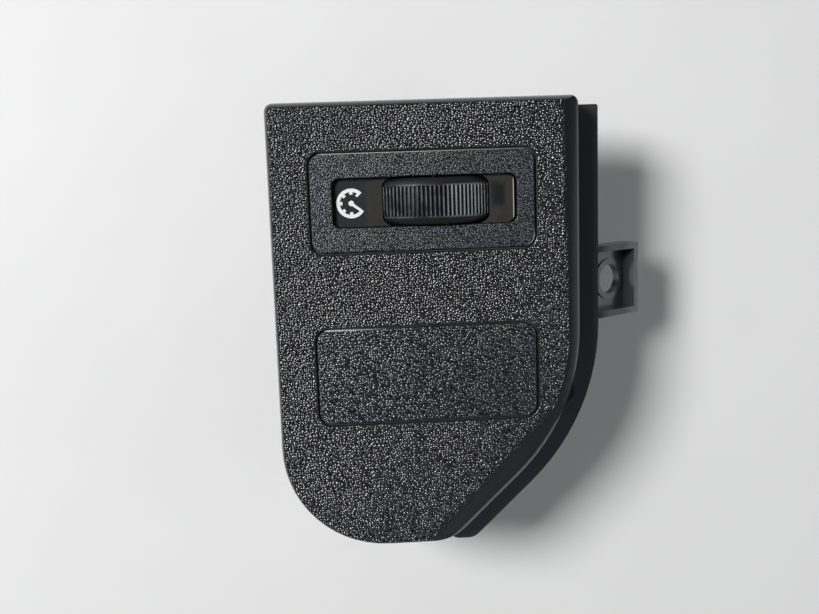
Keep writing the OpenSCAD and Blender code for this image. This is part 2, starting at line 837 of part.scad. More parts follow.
// Two sprung fingers, one on the track and one on the collector ring
module wiper() {
    base_y = module_y - web_t / 2;
    contact_gap = 0.3;
    tip_y = board_top_y + track_t + contact_gap;
    finger_w = 0.9;
    finger_set = 0.5;
    half_w = peg_x + 1.1;
    half_h = 1.3;
    peg_fit = 0.05;
    base_z = axis_z - wiper_r;
    color("#c8a060") in_place() {
        difference() {
            block(
                [wheel_x - half_w, base_y - wiper_t, base_z - half_h],
                [wheel_x + half_w, base_y, base_z + half_h]
            );
            for (s = [-1, 1])
                bar(wheel_x + s * peg_x, base_z, peg_r + peg_fit, base_y - over, 2 * over);
        }
        for (r = [track_r - track_w / 2, ring_r - ring_w / 2])
            end_profile(
                finger_points(base_y, base_z, tip_y, axis_z - r),
                wheel_x + (r > ring_r ? finger_set : -finger_set - finger_w), finger_w
            );
    }
}

// Side view of a finger that slopes from the base down to its contact point
function finger_points(y0, z0, y1, z1) =
    let (back = z1 < z0 ? 1.1 : -1.1, rise = 0.15, land = back / 4, toe = back / 2.5)
    [
        [y0 - wiper_t, z0 + back], [y0 - wiper_t + rise, z0 - back],
        [y1 + rise + wiper_t, z1], [y1 + rise, z1 - toe], [y1, z1 - land],
        [y1, z1 + land]
    ];

// One half of the case, closed at its lower side; the other is its mirror image in most things
module case_shell(y0, y1, open_high) {
    difference() {
        intersection() {
            translate([0, module_y, case_top_z])
                slab([case_w, case_h], case_r, case_depth + case_top_z);
            block([-case_w, y0, -case_depth - over], [case_w, y1, case_top_z + over]);
        }
        block(
            [-case_in_x, open_high ? y0 + case_wall : y0 - over, case_floor_z],
            [case_in_x, open_high ? y1 + over : y1 - case_wall, case_top_z + over]
        );
        // Way out for the connector and seat for the lamp holder
        block(
            [wheel_x - shroud_w / 2 - socket_fit, block_y - shroud_h / 2 - socket_fit, -case_depth - over],
            [wheel_x + shroud_w / 2 + socket_fit, block_y + shroud_h / 2 + socket_fit, case_floor_z + over]
        );
        translate([lamp_x, module_y, -case_depth - over])
            cylinder(h = case_wall + 2 * over, r = holder_d / 2 + socket_fit);
    }
}

// Lug on the case that clicks into the bezel's skirt, on the side s
module case_lugs(y, s) {
    lug_z = -skirt_depth + 1.4;
    lug_out = 0.8;
    lug_w = 4.4;
    lug_h = 1.7;
    for (x = catch_places)
        end_profile([
            [y - s * bite, lug_z],
            [y + s * lug_out, lug_z + 0.3],
            [y + s * lug_out, lug_z + 0.7],
            [y - s * bite, lug_z + lug_h]
        ], x - lug_w / 2, lug_w);
}

module case_boss(y0, h) {
    bar(wheel_x, axis_z, boss_r, y0, h);
}

module axle_seat() {
    bar(wheel_x, axis_z, axle_d / 2 + 0.02, case_low_y - case_wall + axle_end, case_h - 2 * axle_end);
}

// Wall of the lamp chamber from y0 to y1
module chamber_side(y0, y1) {
    block([chamber_x, y0, chamber_end_z], [chamber_x + chamber_wall, y1, guide_end_z + 0.4]);
}

// Wedge on the case's end, on the side s, that a latch hooks over
module latch_wedge(s) {
    low = module_y - latch_drop + 0.1;
    land = 0.4;
    wedge_h = 1.8;
    translate([0, 0, latch_z - latch_w / 2 + latch_bar])
        linear_extrude(latch_w - 2 * latch_bar)
            polygon([
                [s * (case_w / 2 - bite), low],
                [s * (case_w / 2 + latch_t), low],
                [s * (case_w / 2 + latch_t), low + land],
                [s * (case_w / 2 - bite), low + wedge_h]
            ]);
}

// Latch on the case's end, on the side s: a loop that springs over the wedge
module case_latch(s) {
    gap = 0.15;
    eye_h = 2.4;
    in_x = case_w / 2 + gap;
    out_x = in_x + latch_t;
    low = module_y - latch_drop;
    difference() {
        union() {
            end_block(s, in_x, out_x, low - latch_bar, module_y + latch_root, latch_w / 2);
            end_block(s, case_w / 2 - bite, out_x, module_y + 1, module_y + latch_root, latch_w / 2);
        }
        end_block(s, in_x - over, out_x + over, low, low + eye_h, latch_w / 2 - latch_bar + gap);
    }
}

// Box on the side s of the case, centred on the latch's depth
module end_block(s, x0, x1, y0, y1, half) {
    block([min(s * x0, s * x1), y0, latch_z - half], [max(s * x0, s * x1), y1, latch_z + half]);
}

module case_lower() {
    y0 = module_y - case_h / 2;
    pad_w = 1.6;
    pad_h = 2;
    pad_row = [board_left + pad_w / 2, case_in_x - 2 * pad_w];
    color("#1f2123") in_place() {
        difference() {
            union() {
                case_shell(y0, module_y, true);
                case_boss(case_low_y - bite, wheel_low_y - washer_gap - case_low_y + bite);
            }
            axle_seat();
        }
        case_lugs(y0, -1);
        chamber_side(case_low_y - bite, module_y);
        for (s = [-1, 1]) latch_wedge(s);
        // Pads under the board
        for (x = pad_row, z = [axis_z + 4, case_floor_z + 3])
            block([x, case_low_y - bite, z - pad_h / 2], [x + pad_w, board_y, z + pad_h / 2]);
    }
}

module case_upper() {
    y1 = module_y + case_h / 2;
    boss_y = wheel_high_y + washer_gap + washer_t;
    stop_gap = 0.5;
    stop_t = 1.6;
    stop_out = wheel_r - rim_t - stop_gap;
    stop_in = stop_out - stop_t;
    lug_turn = 9;
    stop_half = 180 - wheel_turn - lug_turn;
    stop_y = module_y + web_t / 2 + 0.4;
    color("#232527") in_place() {
        difference() {
            union() {
                case_shell(module_y, y1, false);
                case_boss(boss_y, case_high_y + bite - boss_y);
            }
            axle_seat();
        }
        case_lugs(y1, 1);
        chamber_side(module_y, case_high_y + bite);
        for (s = [-1, 1]) case_latch(s);
        // Curved stop for the wheel's lug
        translate([wheel_x, case_high_y + bite, axis_z])
            rotate([90, 0, 0])
                linear_extrude(case_high_y + bite - stop_y)
                    polygon(concat(
                        arc([0, 0], stop_out, stop_out, -90 - stop_half, -90 + stop_half, 12),
                        arc([0, 0], stop_in, stop_in, -90 + stop_half, -90 - stop_half, 12)
                    ));
    }
}

// Tapered clear block that carries the lamp's light to the symbol
module light_guide() {
    g = guide_size / 2;
    top_z = case_top_z;
    narrow = lamp_d / 2;
    head_h = 2;
    draft = 0.3;
    color("#cfd6da") in_place()
        side_profile([
            [symbol_x - g, top_z],
            [symbol_x + g, top_z],
            [symbol_x + g - draft, top_z - head_h],
            [lamp_x + narrow, guide_end_z],
            [lamp_x - narrow, guide_end_z],
            [symbol_x - g, top_z - head_h]
        ], module_y - g, guide_size);
}

module lamp_bulb() {
    r = lamp_d / 2;
    neck = 0.5;
    color("#dfe4e6") in_place()
        translate([lamp_x, module_y, lamp_z - lamp_len - lamp_base])
            rotate_extrude()
                polygon(concat(
                    [[0, 0], [r - neck, 0], [r - neck, lamp_base], [r, lamp_base + 0.6]],
                    arc([0, lamp_base + lamp_len - r], r, r, 0, 90, 8)
                ));
}

module lamp_holder() {
    r = holder_d / 2;
    top_z = lamp_z - lamp_len - 0.5;
    low_z = -case_depth - holder_rim_t;
    slot_w = 1;
    slot_depth = 1.1;
    slot_out = 0.75;
    grip = 0.45;
    color("#6b6f73") in_place()
        difference() {
            union() {
                translate([lamp_x, module_y, low_z])
                    cylinder(h = top_z - low_z, r = r);
                translate([lamp_x, module_y, low_z])
                    cylinder(h = holder_rim_t, r = r + holder_rim);
            }
            translate([lamp_x, module_y, lamp_z - lamp_len - lamp_base - blade_fit])
                cylinder(h = lamp_base + over, r = lamp_d / 2 - grip);
            // Slot for a screwdriver
            block(
                [lamp_x - r - slot_out, module_y - slot_w / 2, low_z - over],
                [lamp_x + r + slot_out, module_y + slot_w / 2, low_z + slot_depth]
            );
        }
}

module circuit_board() {
    edge_gap = 0.2;
    leg_fit = 0.1;
    hole_w = leg_w + 2 * leg_fit;
    color("#3d6b47") in_place()
        difference() {
            block([board_left, board_y, case_floor_z + edge_gap], [board_right, board_top_y, board_end_z]);
            bar(wheel_x, axis_z, boss_r + edge_gap, board_y - over, board_t + 2 * over);
            for (x = terminal_row)
                block(
                    [x - hole_w / 2, board_y - over, leg_z - leg_fit],
                    [x + hole_w / 2, board_top_y + over, leg_z + leg_t + leg_fit]
                );
        }
}

// Sector of a flat ring on the board, open towards the face when gap is above 0
module board_ring(r, w, gap) {
    translate([wheel_x, board_top_y + track_t, axis_z])
        rotate([90, 0, 0])
            difference() {
                cylinder(h = track_t, r = r);
                translate([0, 0, -over])
                    cylinder(h = track_t + 2 * over, r = r - w);
                if (gap > 0)
                    translate([0, 0, -over])
                        linear_extrude(track_t + 2 * over)
                            polygon([[0, 0], 2 * r * [sin(gap), cos(gap)], 2 * r * [-sin(gap), cos(gap)]]);
            }
}

module resistor_track() {
    color("#15161a") in_place() board_ring(track_r, track_w, 176 - wheel_turn);
}

module collector_ring() {
    color("#c9a24a") in_place() board_ring(ring_r, ring_w, 0);
}

module power_transistor() {
    low_z = case_floor_z + 1.2;
    body_w = 8;
    middle_z = low_z + body_w / 2;
    body_y = board_top_y + 1.6;
    hole_r = 1.6;
    hole_in = 3.3;
    lead_x = transistor_x + 1.1;
    lead_t = 0.6;
    lead_w = 0.7;
    lead_pitch = 2.3;
    color("#1a1b1d") in_place() {
        difference() {
            block(
                [transistor_x, body_y, low_z],
                [transistor_x + transistor_t, case_high_y - 0.3, low_z + body_w]
            );
            translate([transistor_x - over, case_high_y - hole_in, middle_z])
                rotate([0, 90, 0])
                    cylinder(h = transistor_t + 2 * over, r = hole_r);
        }
        for (i = [-1, 0, 1])
            block(
                [lead_x, board_top_y, middle_z + i * lead_pitch - lead_w / 2],
                [lead_x + lead_t, body_y + bite, middle_z + i * lead_pitch + lead_w / 2]
            );
    }
}

module heat_sink() {
    foot = 3.6;
    foot_z = case_floor_z + 0.1;
    low_y = board_top_y + 0.2;
    high_y = case_high_y - 0.1;
    color("#c4c7ca") in_place() {
        block([case_in_x - sink_t, low_y, foot_z], [case_in_x, high_y, axis_z + 5]);
        block([case_in_x - foot, low_y, foot_z], [case_in_x, high_y, foot_z + sink_t]);
    }
}

// Small part lying on the board along Z, with bent leads
module axial_part(x, z, r, h, lead) {
    wire = 0.6;
    lift = 0.15;
    y = board_top_y + r + lift;
    translate([x, y, z - h / 2])
        cylinder(h = h, r = r);
    for (s = [-1, 1])
        end_profile([
            [y - wire / 2, z + s * (h / 2 - bite)],
            [y + wire / 2, z + s * (h / 2 - bite)],
            [y + wire / 2, z + s * (h / 2 + lead)],
            [board_top_y, z + s * (h / 2 + lead)],
            [board_top_y, z + s * (h / 2 + lead - wire)],
            [y - wire / 2, z + s * (h / 2 + lead - wire)]
        ], x - wire / 2, wire);
}

module board_resistor() {
    color("#b9a27a") in_place()
        axial_part(part_x - 0.2, resistor_z, 1.1, resistor_len, lead_out);
}

module board_capacitor() {
    color("#2f3a66") in_place()
        bar(part_x + 0.6, capacitor_z, capacitor_r, board_top_y, capacitor_len);
}

module board_diode() {
    x = (wheel_x + shroud_w / 2 + block_flange + transistor_x) / 2;
    color("#3a3a3c") in_place()
        axial_part(x, case_floor_z + 4.6, 0.8, 3.6, lead_out);
}

module connector_block() {
    half_w = shroud_w / 2;
    low_y = block_y - shroud_h / 2;
    high_y = block_y + shroud_h / 2;
    flange_low = board_top_y + block_lift;
    flange_high = case_high_y - 0.4;
    ridge_half = 2;
    ridge_h = 0.7;
    ridge_z = -shroud_depth + 1;
    ridge_len = 1.2;
    color("#d8d6cc") in_place()
        difference() {
            union() {
                block(
                    [wheel_x - half_w, low_y, -shroud_depth],
                    [wheel_x + half_w, high_y, case_floor_z + bite]
                );
                block(
                    [wheel_x - half_w - block_flange, flange_low, case_floor_z],
                    [wheel_x + half_w + block_flange, flange_high, block_front_z]
                );
                // Latch ridge for the plug
                block(
                    [wheel_x - ridge_half, high_y - bite, ridge_z],
                    [wheel_x + ridge_half, high_y + ridge_h, ridge_z + ridge_len]
                );
            }
            block(
                [wheel_x - half_w + shroud_wall, low_y + shroud_wall, -shroud_depth - over],
                [wheel_x + half_w - shroud_wall, high_y - shroud_wall, socket_z]
            );
            for (x = terminal_row)
                block(
                    [x - blade_w / 2 - blade_fit, block_y - blade_t / 2 - blade_fit, socket_z - over],
                    [x + blade_w / 2 + blade_fit, block_y + blade_t / 2 + blade_fit, block_front_z + over]
                );
        }
}

// Blade in the connector, bent down to its solder joint in the board
module terminal(i) {
    x = terminal_row[i];
    tip_z = -shroud_depth + 1;
    taper = 0.5;
    taper_len = 0.8;
    joint = 0.3;
    color("#d0b56a") in_place() {
        side_profile([
            [x - blade_w / 2 + taper, tip_z],
            [x + blade_w / 2 - taper, tip_z],
            [x + blade_w / 2, tip_z + taper_len],
            [x + blade_w / 2, leg_z + leg_t],
            [x - blade_w / 2, leg_z + leg_t],
            [x - blade_w / 2, tip_z + taper_len]
        ], block_y - blade_t / 2, blade_t);
        block([x - leg_w / 2, board_y - joint, leg_z], [x + leg_w / 2, block_y, leg_z + leg_t]);
    }
}

// Spring clip folded over a post, its legs bowed out to grip the dash
module clip(place) {
    gap = 0.05;
    flat = 2;
    y_in = post_t / 2 + gap;
    end_z = -post_depth - 2 * gap;
    bow = [
        [y_in, end_z], [y_in, end_z + flat], [y_in + clip_bow, end_z + clip_len * 0.45],
        [y_in + clip_bow, end_z + clip_len * 0.55], [y_in, end_z + clip_len]
    ];
    outer = [for (i = [len(bow) - 1:-1:0]) bow[i] + [clip_t, i == 0 ? -clip_t : 0]];
    half = concat([[0, end_z]], bow, outer, [[0, end_z - clip_t]]);
    color("#8f9498") in_place()
        translate([0, place.y, 0])
            for (s = [-1, 1])
                end_profile([for (p = half) [s * p.x, p.y]], place.x - post_w / 2 + 0.5, post_w - 1);
}

trim_panel();
blank_plug();
dimmer_bezel();
window_plate();
thumbwheel();
wheel_axle();
friction_washer();
wiper();
case_lower();
case_upper();
light_guide();
lamp_bulb();
lamp_holder();
circuit_board();
resistor_track();
collector_ring();
power_transistor();
heat_sink();
board_resistor();
board_capacitor();
board_diode();
connector_block();
terminal(0);  // terminal_1
terminal(1);  // terminal_2
terminal(2);  // terminal_3
terminal(3);  // terminal_4
clip(post_places[0]);  // clip_1
clip(post_places[1]);  // clip_2
clip(post_places[2]);  // clip_3
clip(post_places[3]);  // clip_4
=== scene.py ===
import json
import math

import bmesh
import bpy
from mathutils import Matrix, Vector


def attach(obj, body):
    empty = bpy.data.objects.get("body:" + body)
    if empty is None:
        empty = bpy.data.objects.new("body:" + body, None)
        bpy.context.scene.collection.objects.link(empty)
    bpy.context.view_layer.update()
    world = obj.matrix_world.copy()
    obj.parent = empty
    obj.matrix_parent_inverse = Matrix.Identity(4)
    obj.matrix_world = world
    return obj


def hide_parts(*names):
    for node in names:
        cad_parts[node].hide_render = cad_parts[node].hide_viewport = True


MM = 0.001
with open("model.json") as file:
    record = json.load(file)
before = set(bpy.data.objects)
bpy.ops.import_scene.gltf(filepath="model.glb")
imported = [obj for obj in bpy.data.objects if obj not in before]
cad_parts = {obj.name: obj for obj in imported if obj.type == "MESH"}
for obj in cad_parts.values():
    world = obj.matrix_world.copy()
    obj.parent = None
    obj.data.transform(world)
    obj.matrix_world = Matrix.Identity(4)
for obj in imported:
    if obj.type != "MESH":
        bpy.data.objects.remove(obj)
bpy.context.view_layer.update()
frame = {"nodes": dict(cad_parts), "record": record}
nodes = frame["nodes"]
record = frame["record"]
body_of = {n: b for b, members in record["behaviour"]["bodies"].items() for n in members}
slot_of = {s["node"]: s["material_slot"] for s in record["subparts"]}


def points(node):
    return [v.co for v in nodes[node].data.vertices]


def middle(values):
    return (min(values) + max(values)) / 2


# How far below the face a point may lie and still count as on the face, or on a piece's front
ON_FACE = 0.02 * MM
ON_FRONT = 0.5 * MM

# Home is the middle of the bezel's bottom edge, in the plane of the face. The camera, the print and
# the finishes are placed from it.
bezel = points("dimmer_bezel")
FACE_Z = max(p.z for p in bezel)
front = [p for p in bezel if p.z > FACE_Z - ON_FRONT]
home = Vector((middle([p.x for p in front]), min(p.y for p in front), FACE_Z))

# Where the panel's face ends on the right and its rounding begins, in millimetres from home
face_end = (max(p.x for p in points("trim_panel") if p.z > FACE_Z - ON_FACE) - home.x) / MM

wheel = points("thumbwheel")
wheel_mid = Vector([middle([p[i] for p in wheel]) for i in range(3)])
wheel_r = (max(p.z for p in wheel) - wheel_mid.z) / MM

# Places on the panel that its finish needs, in millimetres: the rounding on the right ends within
# this distance, both out from the face's edge and below the face
ROUNDING = 3.6
# The flange's front lies just deeper than this
FLANGE_DEPTH = 9.9
# Distances towards the curve and the diagonal are taken from home in this direction, below the level
SLANT = math.radians(43.84)
# The distance of the diagonal's outer line, taken so
DIAGONAL = 45.2
# Heights from home between which the painted light changes along the curve and the diagonal
CURVE_TOP_Y = -18.0
PANEL_LOW_Y = -57.0

# Shader nodes. Lengths are in millimetres here and in all finishes.


class Tree:
    """A material's node tree, with short calls for the nodes that the finishes use."""

    def __init__(self, name):
        self.material = bpy.data.materials.new(name)
        self.material.use_nodes = True
        self.tree = self.material.node_tree
        self.shader = self.tree.nodes["Principled BSDF"]
        self.coord = self.tree.nodes.new("ShaderNodeTexCoord")

    def put(self, socket, value):
        if isinstance(value, bpy.types.NodeSocket):
            self.tree.links.new(value, socket)
        else:
            socket.default_value = value

    def math(self, operation, a, b=0.0, c=0.0):
        made = self.tree.nodes.new("ShaderNodeMath")
        made.operation = operation
        for socket, value in zip(made.inputs, (a, b, c)):
            self.put(socket, value)
        return made.outputs[0]

    def all_of(self, first, *others):
        """The product of masks: 1 only where each of them is 1."""
        for mask in others:
            first = self.math("MULTIPLY", first, mask)
        return first

    def ramp(self, value, low, high, to_low=0.0, to_high=1.0, kind="SMOOTHSTEP"):
        """to_low up to low and to_high from high on, with a smooth step between them."""
        made = self.tree.nodes.new("ShaderNodeMapRange")
        made.interpolation_type = kind
        self.put(made.inputs["Value"], value)
        self.put(made.inputs["From Min"], low)
        self.put(made.inputs["From Max"], high)
        self.put(made.inputs["To Min"], to_low)
        self.put(made.inputs["To Max"], to_high)
        return made.outputs[0]

    def fall(self, value, low, high):
        """1 up to low and 0 from high on."""
        return self.ramp(value, low, high, 1.0, 0.0)

    def spread(self, noise, to_low=0.0, to_high=1.0):
        """A noise's usual range, stretched over to_low to to_high."""
        return self.ramp(noise, 0.3, 0.7, to_low, to_high)

    def mix(self, factor, a, b):
        """The colour a where factor is 0 and b where it is 1."""
        # The node has sockets for each type of data: 6, 7 and the output 2 are those for colours
        made = self.tree.nodes.new("ShaderNodeMix")
        made.data_type = "RGBA"
        self.put(made.inputs[0], factor)
        self.put(made.inputs[6], a)
        self.put(made.inputs[7], b)
        return made.outputs[2]

    def noise(self, pitch, detail=2.0, where=None, output="Fac"):
        made = self.tree.nodes.new("ShaderNodeTexNoise")
        self.put(made.inputs["Vector"], where or self.coord.outputs["Object"])
        made.inputs["Scale"].default_value = 1.0 / (pitch * MM)
        made.inputs["Detail"].default_value = detail
        return made.outputs[output]

    def grains(self, pitch):
        """Distance from the nearest pebble's middle, in pitches, on a grid that a noise disturbs."""
        swirl, wander = 1.6 * pitch, 0.25 * pitch
        drift = self.tree.nodes.new("ShaderNodeVectorMath")
        drift.operation = "MULTIPLY_ADD"
        self.put(drift.inputs[0], self.noise(swirl, 1.0, output="Color"))
        drift.inputs[1].default_value = (wander * MM,) * 3
        self.put(drift.inputs[2], self.coord.outputs["Object"])
        cell = self.tree.nodes.new("ShaderNodeTexVoronoi")
        cell.feature = "SMOOTH_F1"
        cell.inputs["Scale"].default_value = 1.0 / (pitch * MM)
        cell.inputs["Smoothness"].default_value = 0.22
        cell.inputs["Randomness"].default_value = 0.85
        self.put(cell.inputs["Vector"], drift.outputs[0])
        return cell.outputs["Distance"]

    def split(self, vector):
        made = self.tree.nodes.new("ShaderNodeSeparateXYZ")
        self.put(made.inputs[0], vector)
        return made.outputs

    def from_point(self, origin):
        """Distances from a point: to the right, up the face, and out of it."""
        offset = self.tree.nodes.new("ShaderNodeVectorMath")
        offset.operation = "MULTIPLY_ADD"
        self.put(offset.inputs[0], self.coord.outputs["Object"])
        offset.inputs[1].default_value = (1.0 / MM,) * 3
        offset.inputs[2].default_value = -origin / MM
        return self.split(offset.outputs[0])

    def facing(self):
        """How far the surface faces to the right, up the face, and out of it, each from -1 to 1."""
        return self.split(self.coord.outputs["Normal"])

    def finish(self, height, **values):
        for key, value in values.items():
            self.put(self.shader.inputs[key.replace("_", " ")], value)
        bump = self.tree.nodes.new("ShaderNodeBump")
        bump.inputs["Distance"].default_value = MM
        bump.inputs["Strength"].default_value = 1.0
        self.put(bump.inputs["Height"], height)
        self.put(self.shader.inputs["Normal"], bump.outputs[0])
        return self.material


def grey(v, warm=0.0):
    """A grey of value v, with its red raised and its blue lowered by the share warm."""
    return (v * (1 + warm), v, v * (1 - warm), 1.0)


def tint(v, blue=0.0):
    """A grey of value v, with its blue raised by the share blue and the rest lowered a little."""
    return (v * (1 - blue / 2), v * (1 - blue / 4), v * (1 + blue), 1.0)


def times(colour, factor):
    return tuple(c * factor for c in colour[:3]) + (1.0,)


# Grained plastic: the panel, the plug and the bezel


def slanted(t, x, y):
    """Distance from home towards the panel's diagonal edge, whose outer line is at DIAGONAL."""
    return t.math("MULTIPLY_ADD", y, -math.sin(SLANT), t.math("MULTIPLY", x, math.cos(SLANT)))


def grained_area(t):
    """The panel's flat face, up to an uneven line short of its right edge and its diagonal."""
    # The face is what looks straight out and lies at the front, and each pair below is a fade's ends
    level, near_face = (0.97, 0.997), (-0.9, -0.3)
    right_fade = (face_end - 0.4, face_end + 1.2)
    diagonal_fade = (DIAGONAL - 4.9, DIAGONAL - 1.8)
    bay_size, bay_depth = 1.3, 1.6
    # The line on the right leans in towards the top
    lean, lean_from = 0.027, 30.0
    x, y, z = t.from_point(home)
    face = t.all_of(t.ramp(t.facing()[2], *level), t.ramp(z, *near_face))
    uneven = t.math("MULTIPLY", t.noise(bay_size), bay_depth)
    across = t.math("MULTIPLY_ADD", t.math("SUBTRACT", y, lean_from), lean, t.math("ADD", x, uneven))
    slant = t.math("ADD", slanted(t, x, y), uneven)
    return t.all_of(face, t.fall(across, *right_fade), t.fall(slant, *diagonal_fade))


def rolled_edge(t):
    """Bump that lets the rounding on the right reflect as if it were flatter.

    It rises with the depth below the face down to the end of the rounding, and fades to nothing
    on the side wall, down to the flange.
    """
    slope, curve = 0.7, 0.1
    # Only what faces to the right is lifted
    to_right = (0.02, 0.12)
    z = t.from_point(home)[2]
    deep = t.ramp(z, -ROUNDING, 0.0, ROUNDING, 0.0, "LINEAR")
    rise = t.math("MULTIPLY", deep, t.math("MULTIPLY_ADD", deep, curve, slope))
    fade = t.ramp(z, -FLANGE_DEPTH, -ROUNDING, 0.0, 1.0, "LINEAR")
    return t.all_of(rise, fade, t.ramp(t.facing()[0], *to_right))


def smooth_tone_with_painted_light(t, colour):
    """Tone of the panel's smooth places, with painted light: the diagonal's edge is painted paler towards
    the bottom, and the flange palest, as painted light on places in the lamp's shadow.
    """
    wall = (face_end + ROUNDING, face_end + ROUNDING + 0.3)
    diagonal_wall = (DIAGONAL + 0.2, DIAGONAL + 0.5)
    diagonal_edge = (DIAGONAL - 9.2, DIAGONAL - 5.2)
    x, y, _ = t.from_point(home)
    slant = slanted(t, x, y)
    # Painted light: the diagonal's edge up to three times paler towards the bottom, the flange five and a
    # half times paler at the top and twelve at the bottom
    down = t.ramp(y, PANEL_LOW_Y, CURVE_TOP_Y, 1.0, 0.0, "LINEAR")
    beyond = t.math("MAXIMUM", t.ramp(x, *wall), t.ramp(slant, *diagonal_wall))
    along = t.all_of(down, t.ramp(slant, *diagonal_edge))
    edge = t.mix(along, colour, times(colour, 3.0))
    flange = t.mix(down, times(colour, 5.5), times(colour, 12.0))
    return t.mix(beyond, edge, flange)


def grained(name, crown, valley, pitch, depth, rough, level, add_painted_highlights, smooth=None):
    """Black moulded plastic with a dense pebble grain, glossier on the crowns. The crowns are painted paler
    as painted sheen, and the valleys near black as painted shade in the grain's hollows.

    add_painted_highlights adds the painted highlights to a tone. Where the colour smooth is given, only the
    flat face is grained, and the rounded edges, the sides and the flange are smooth and have that colour,
    with painted light added on the diagonal's edge and the flange.
    """
    dust_size, dust_depth, patch_size = 0.45 * pitch, 0.012, 14.0
    skin_size, skin_depth, smooth_rough = 0.25, 0.0012, 0.26
    t = Tree(name)
    away = t.grains(pitch)
    dust = t.math("MULTIPLY", t.noise(dust_size), dust_depth)
    height = t.math("MULTIPLY_ADD", away, -depth, dust)
    high = t.fall(away, 0.2, 0.65)
    shine = t.ramp(high, 0.0, 1.0, rough + 0.06, rough - 0.04)
    # Painted light in the grain: near-black valleys are painted shade in the hollows, and paler crowns are
    # painted sheen
    tone = t.mix(high, valley, crown)
    patches = t.ramp(t.noise(patch_size, 3.0), 0.35, 0.7, 0.0, 0.5)
    tone = t.mix(t.all_of(patches, high), tone, times(crown, 1.4))
    if smooth:
        flat = grained_area(t)
        skin = t.math("MULTIPLY", t.noise(skin_size, 3.0), skin_depth)
        height = t.math("MULTIPLY_ADD", height, flat, t.math("ADD", skin, rolled_edge(t)))
        shine = t.ramp(flat, 0.0, 1.0, smooth_rough, shine, "LINEAR")
        tone = t.mix(flat, smooth_tone_with_painted_light(t, smooth), tone)
    # The painted highlights go on last
    return t.finish(height, Base_Color=add_painted_highlights(t, tone), Roughness=shine, Specular_IOR_Level=level)


def panel_painted_highlight(t, tone):
    """The last of the rounding on the right, along the curve and the diagonal, carries a painted highlight,
    a pale line.
    """
    round_low = (0.5 - ROUNDING, 1.0 - ROUNDING)
    right_line = (face_end + 1.5, face_end + 2.5)
    diagonal_line = (DIAGONAL - 2.2, DIAGONAL - 1.2)
    # The painted highlight lies where the surface has turned away from the front and looks to the right, and
    # it is palest on the diagonal, which faces down
    up_share, turned_away = 0.3, (0.4, 0.7)
    to_right, not_down = (0.3, 0.5), (-0.6, -0.1)
    x, y, z = t.from_point(home)
    right, up, out = t.facing()
    turned = t.fall(t.math("MULTIPLY_ADD", up, up_share, out), *turned_away)
    line = t.math("MAXIMUM", t.ramp(x, *right_line), t.ramp(slanted(t, x, y), *diagonal_line))
    place = t.all_of(turned, t.ramp(z, *round_low), line, t.ramp(right, *to_right))
    pale = t.mix(t.ramp(up, *not_down), tint(0.48, 0.04), tint(0.3, 0.06))
    # Painted highlight: a pale line along the end of the rounding
    return t.mix(place, tone, pale)


def painted_top_highlight(t, tone, x_full, x_gone, y_low, y_high, colour):
    """Painted highlight along a flush piece's upper edge: above y_low, full up to x_full and gone at x_gone.
    """
    x, y, _ = t.from_point(home)
    place = t.all_of(t.fall(x, x_full, x_gone), t.ramp(y, y_low, y_high))
    # Painted highlight along the edge
    return t.mix(place, tone, colour)


def plug_painted_highlight(t, tone):
    """A painted highlight on the left half of the upper edge."""
    return painted_top_highlight(t, tone, x_full=-19.8, x_gone=-6.0, y_low=-15.4, y_high=-15.32, colour=tint(0.65))


def bezel_painted_highlights(t, tone):
    """A painted highlight along the upper edge, and a shorter painted highlight on the lower right corner.
    """
    corner_x, corner_y, to_right = (18.5, 20.5), (1.5, 4.0), (0.15, 0.4)
    x, y, _ = t.from_point(home)
    tone = painted_top_highlight(t, tone, x_full=-20.5, x_gone=45.0, y_low=18.97, y_high=19.02, colour=tint(0.62))
    corner = t.all_of(t.ramp(x, *corner_x), t.fall(y, *corner_y), t.ramp(t.facing()[0], *to_right))
    # Painted highlight on the lower right corner's rounding
    return t.mix(corner, tone, tint(0.6))


# The other finishes


def satin(name, colour, rough, level=0.4, pitch=0.3, depth=0.002, patch=9.0, contrast=0.35):
    """Smooth moulded plastic with a faint skin and slow changes of tone."""
    t = Tree(name)
    skin = t.noise(pitch, 3.0)
    cloud = t.noise(patch, 3.0)
    tone = t.mix(t.spread(cloud), times(colour, 1 - contrast), times(colour, 1 + contrast))
    shine = t.spread(skin, rough - 0.05, rough + 0.06)
    height = t.math("MULTIPLY", skin, depth)
    return t.finish(height, Base_Color=tone, Roughness=shine, Specular_IOR_Level=level)


def metal(name, colour, rough, axis=2):
    """Rolled or turned metal: fine lines along one axis, with darker patches."""
    line_size, line_depth, stretch, patch_size = 0.05, 0.0012, 30.0, 3.0
    t = Tree(name)
    scale = [1.0, 1.0, 1.0]
    scale[axis] = 1.0 / stretch
    mapping = t.tree.nodes.new("ShaderNodeMapping")
    t.put(mapping.inputs["Vector"], t.coord.outputs["Object"])
    mapping.inputs["Scale"].default_value = scale
    lines = t.noise(line_size, 2.0, mapping.outputs[0])
    cloud = t.noise(patch_size, 3.0)
    tone = t.mix(t.ramp(cloud, 0.45, 0.75, 0.0, 0.6), colour, times(colour, 0.6))
    shine = t.spread(lines, rough - 0.08, rough + 0.1)
    return t.finish(t.math("MULTIPLY", lines, line_depth), Base_Color=tone, Roughness=shine, Metallic=1.0)


def clear(name, colour, rough):
    """Clear moulding or glass with faint flow marks."""
    flow_size, flow_depth = 1.2, 0.003
    t = Tree(name)
    flow = t.noise(flow_size, 3.0)
    tone = t.mix(t.spread(flow), colour, times(colour, 0.94))
    shine = t.spread(flow, rough, rough + 0.05)
    height = t.math("MULTIPLY", flow, flow_depth)
    return t.finish(height, Base_Color=tone, Roughness=shine, Transmission_Weight=0.92, IOR=1.49)


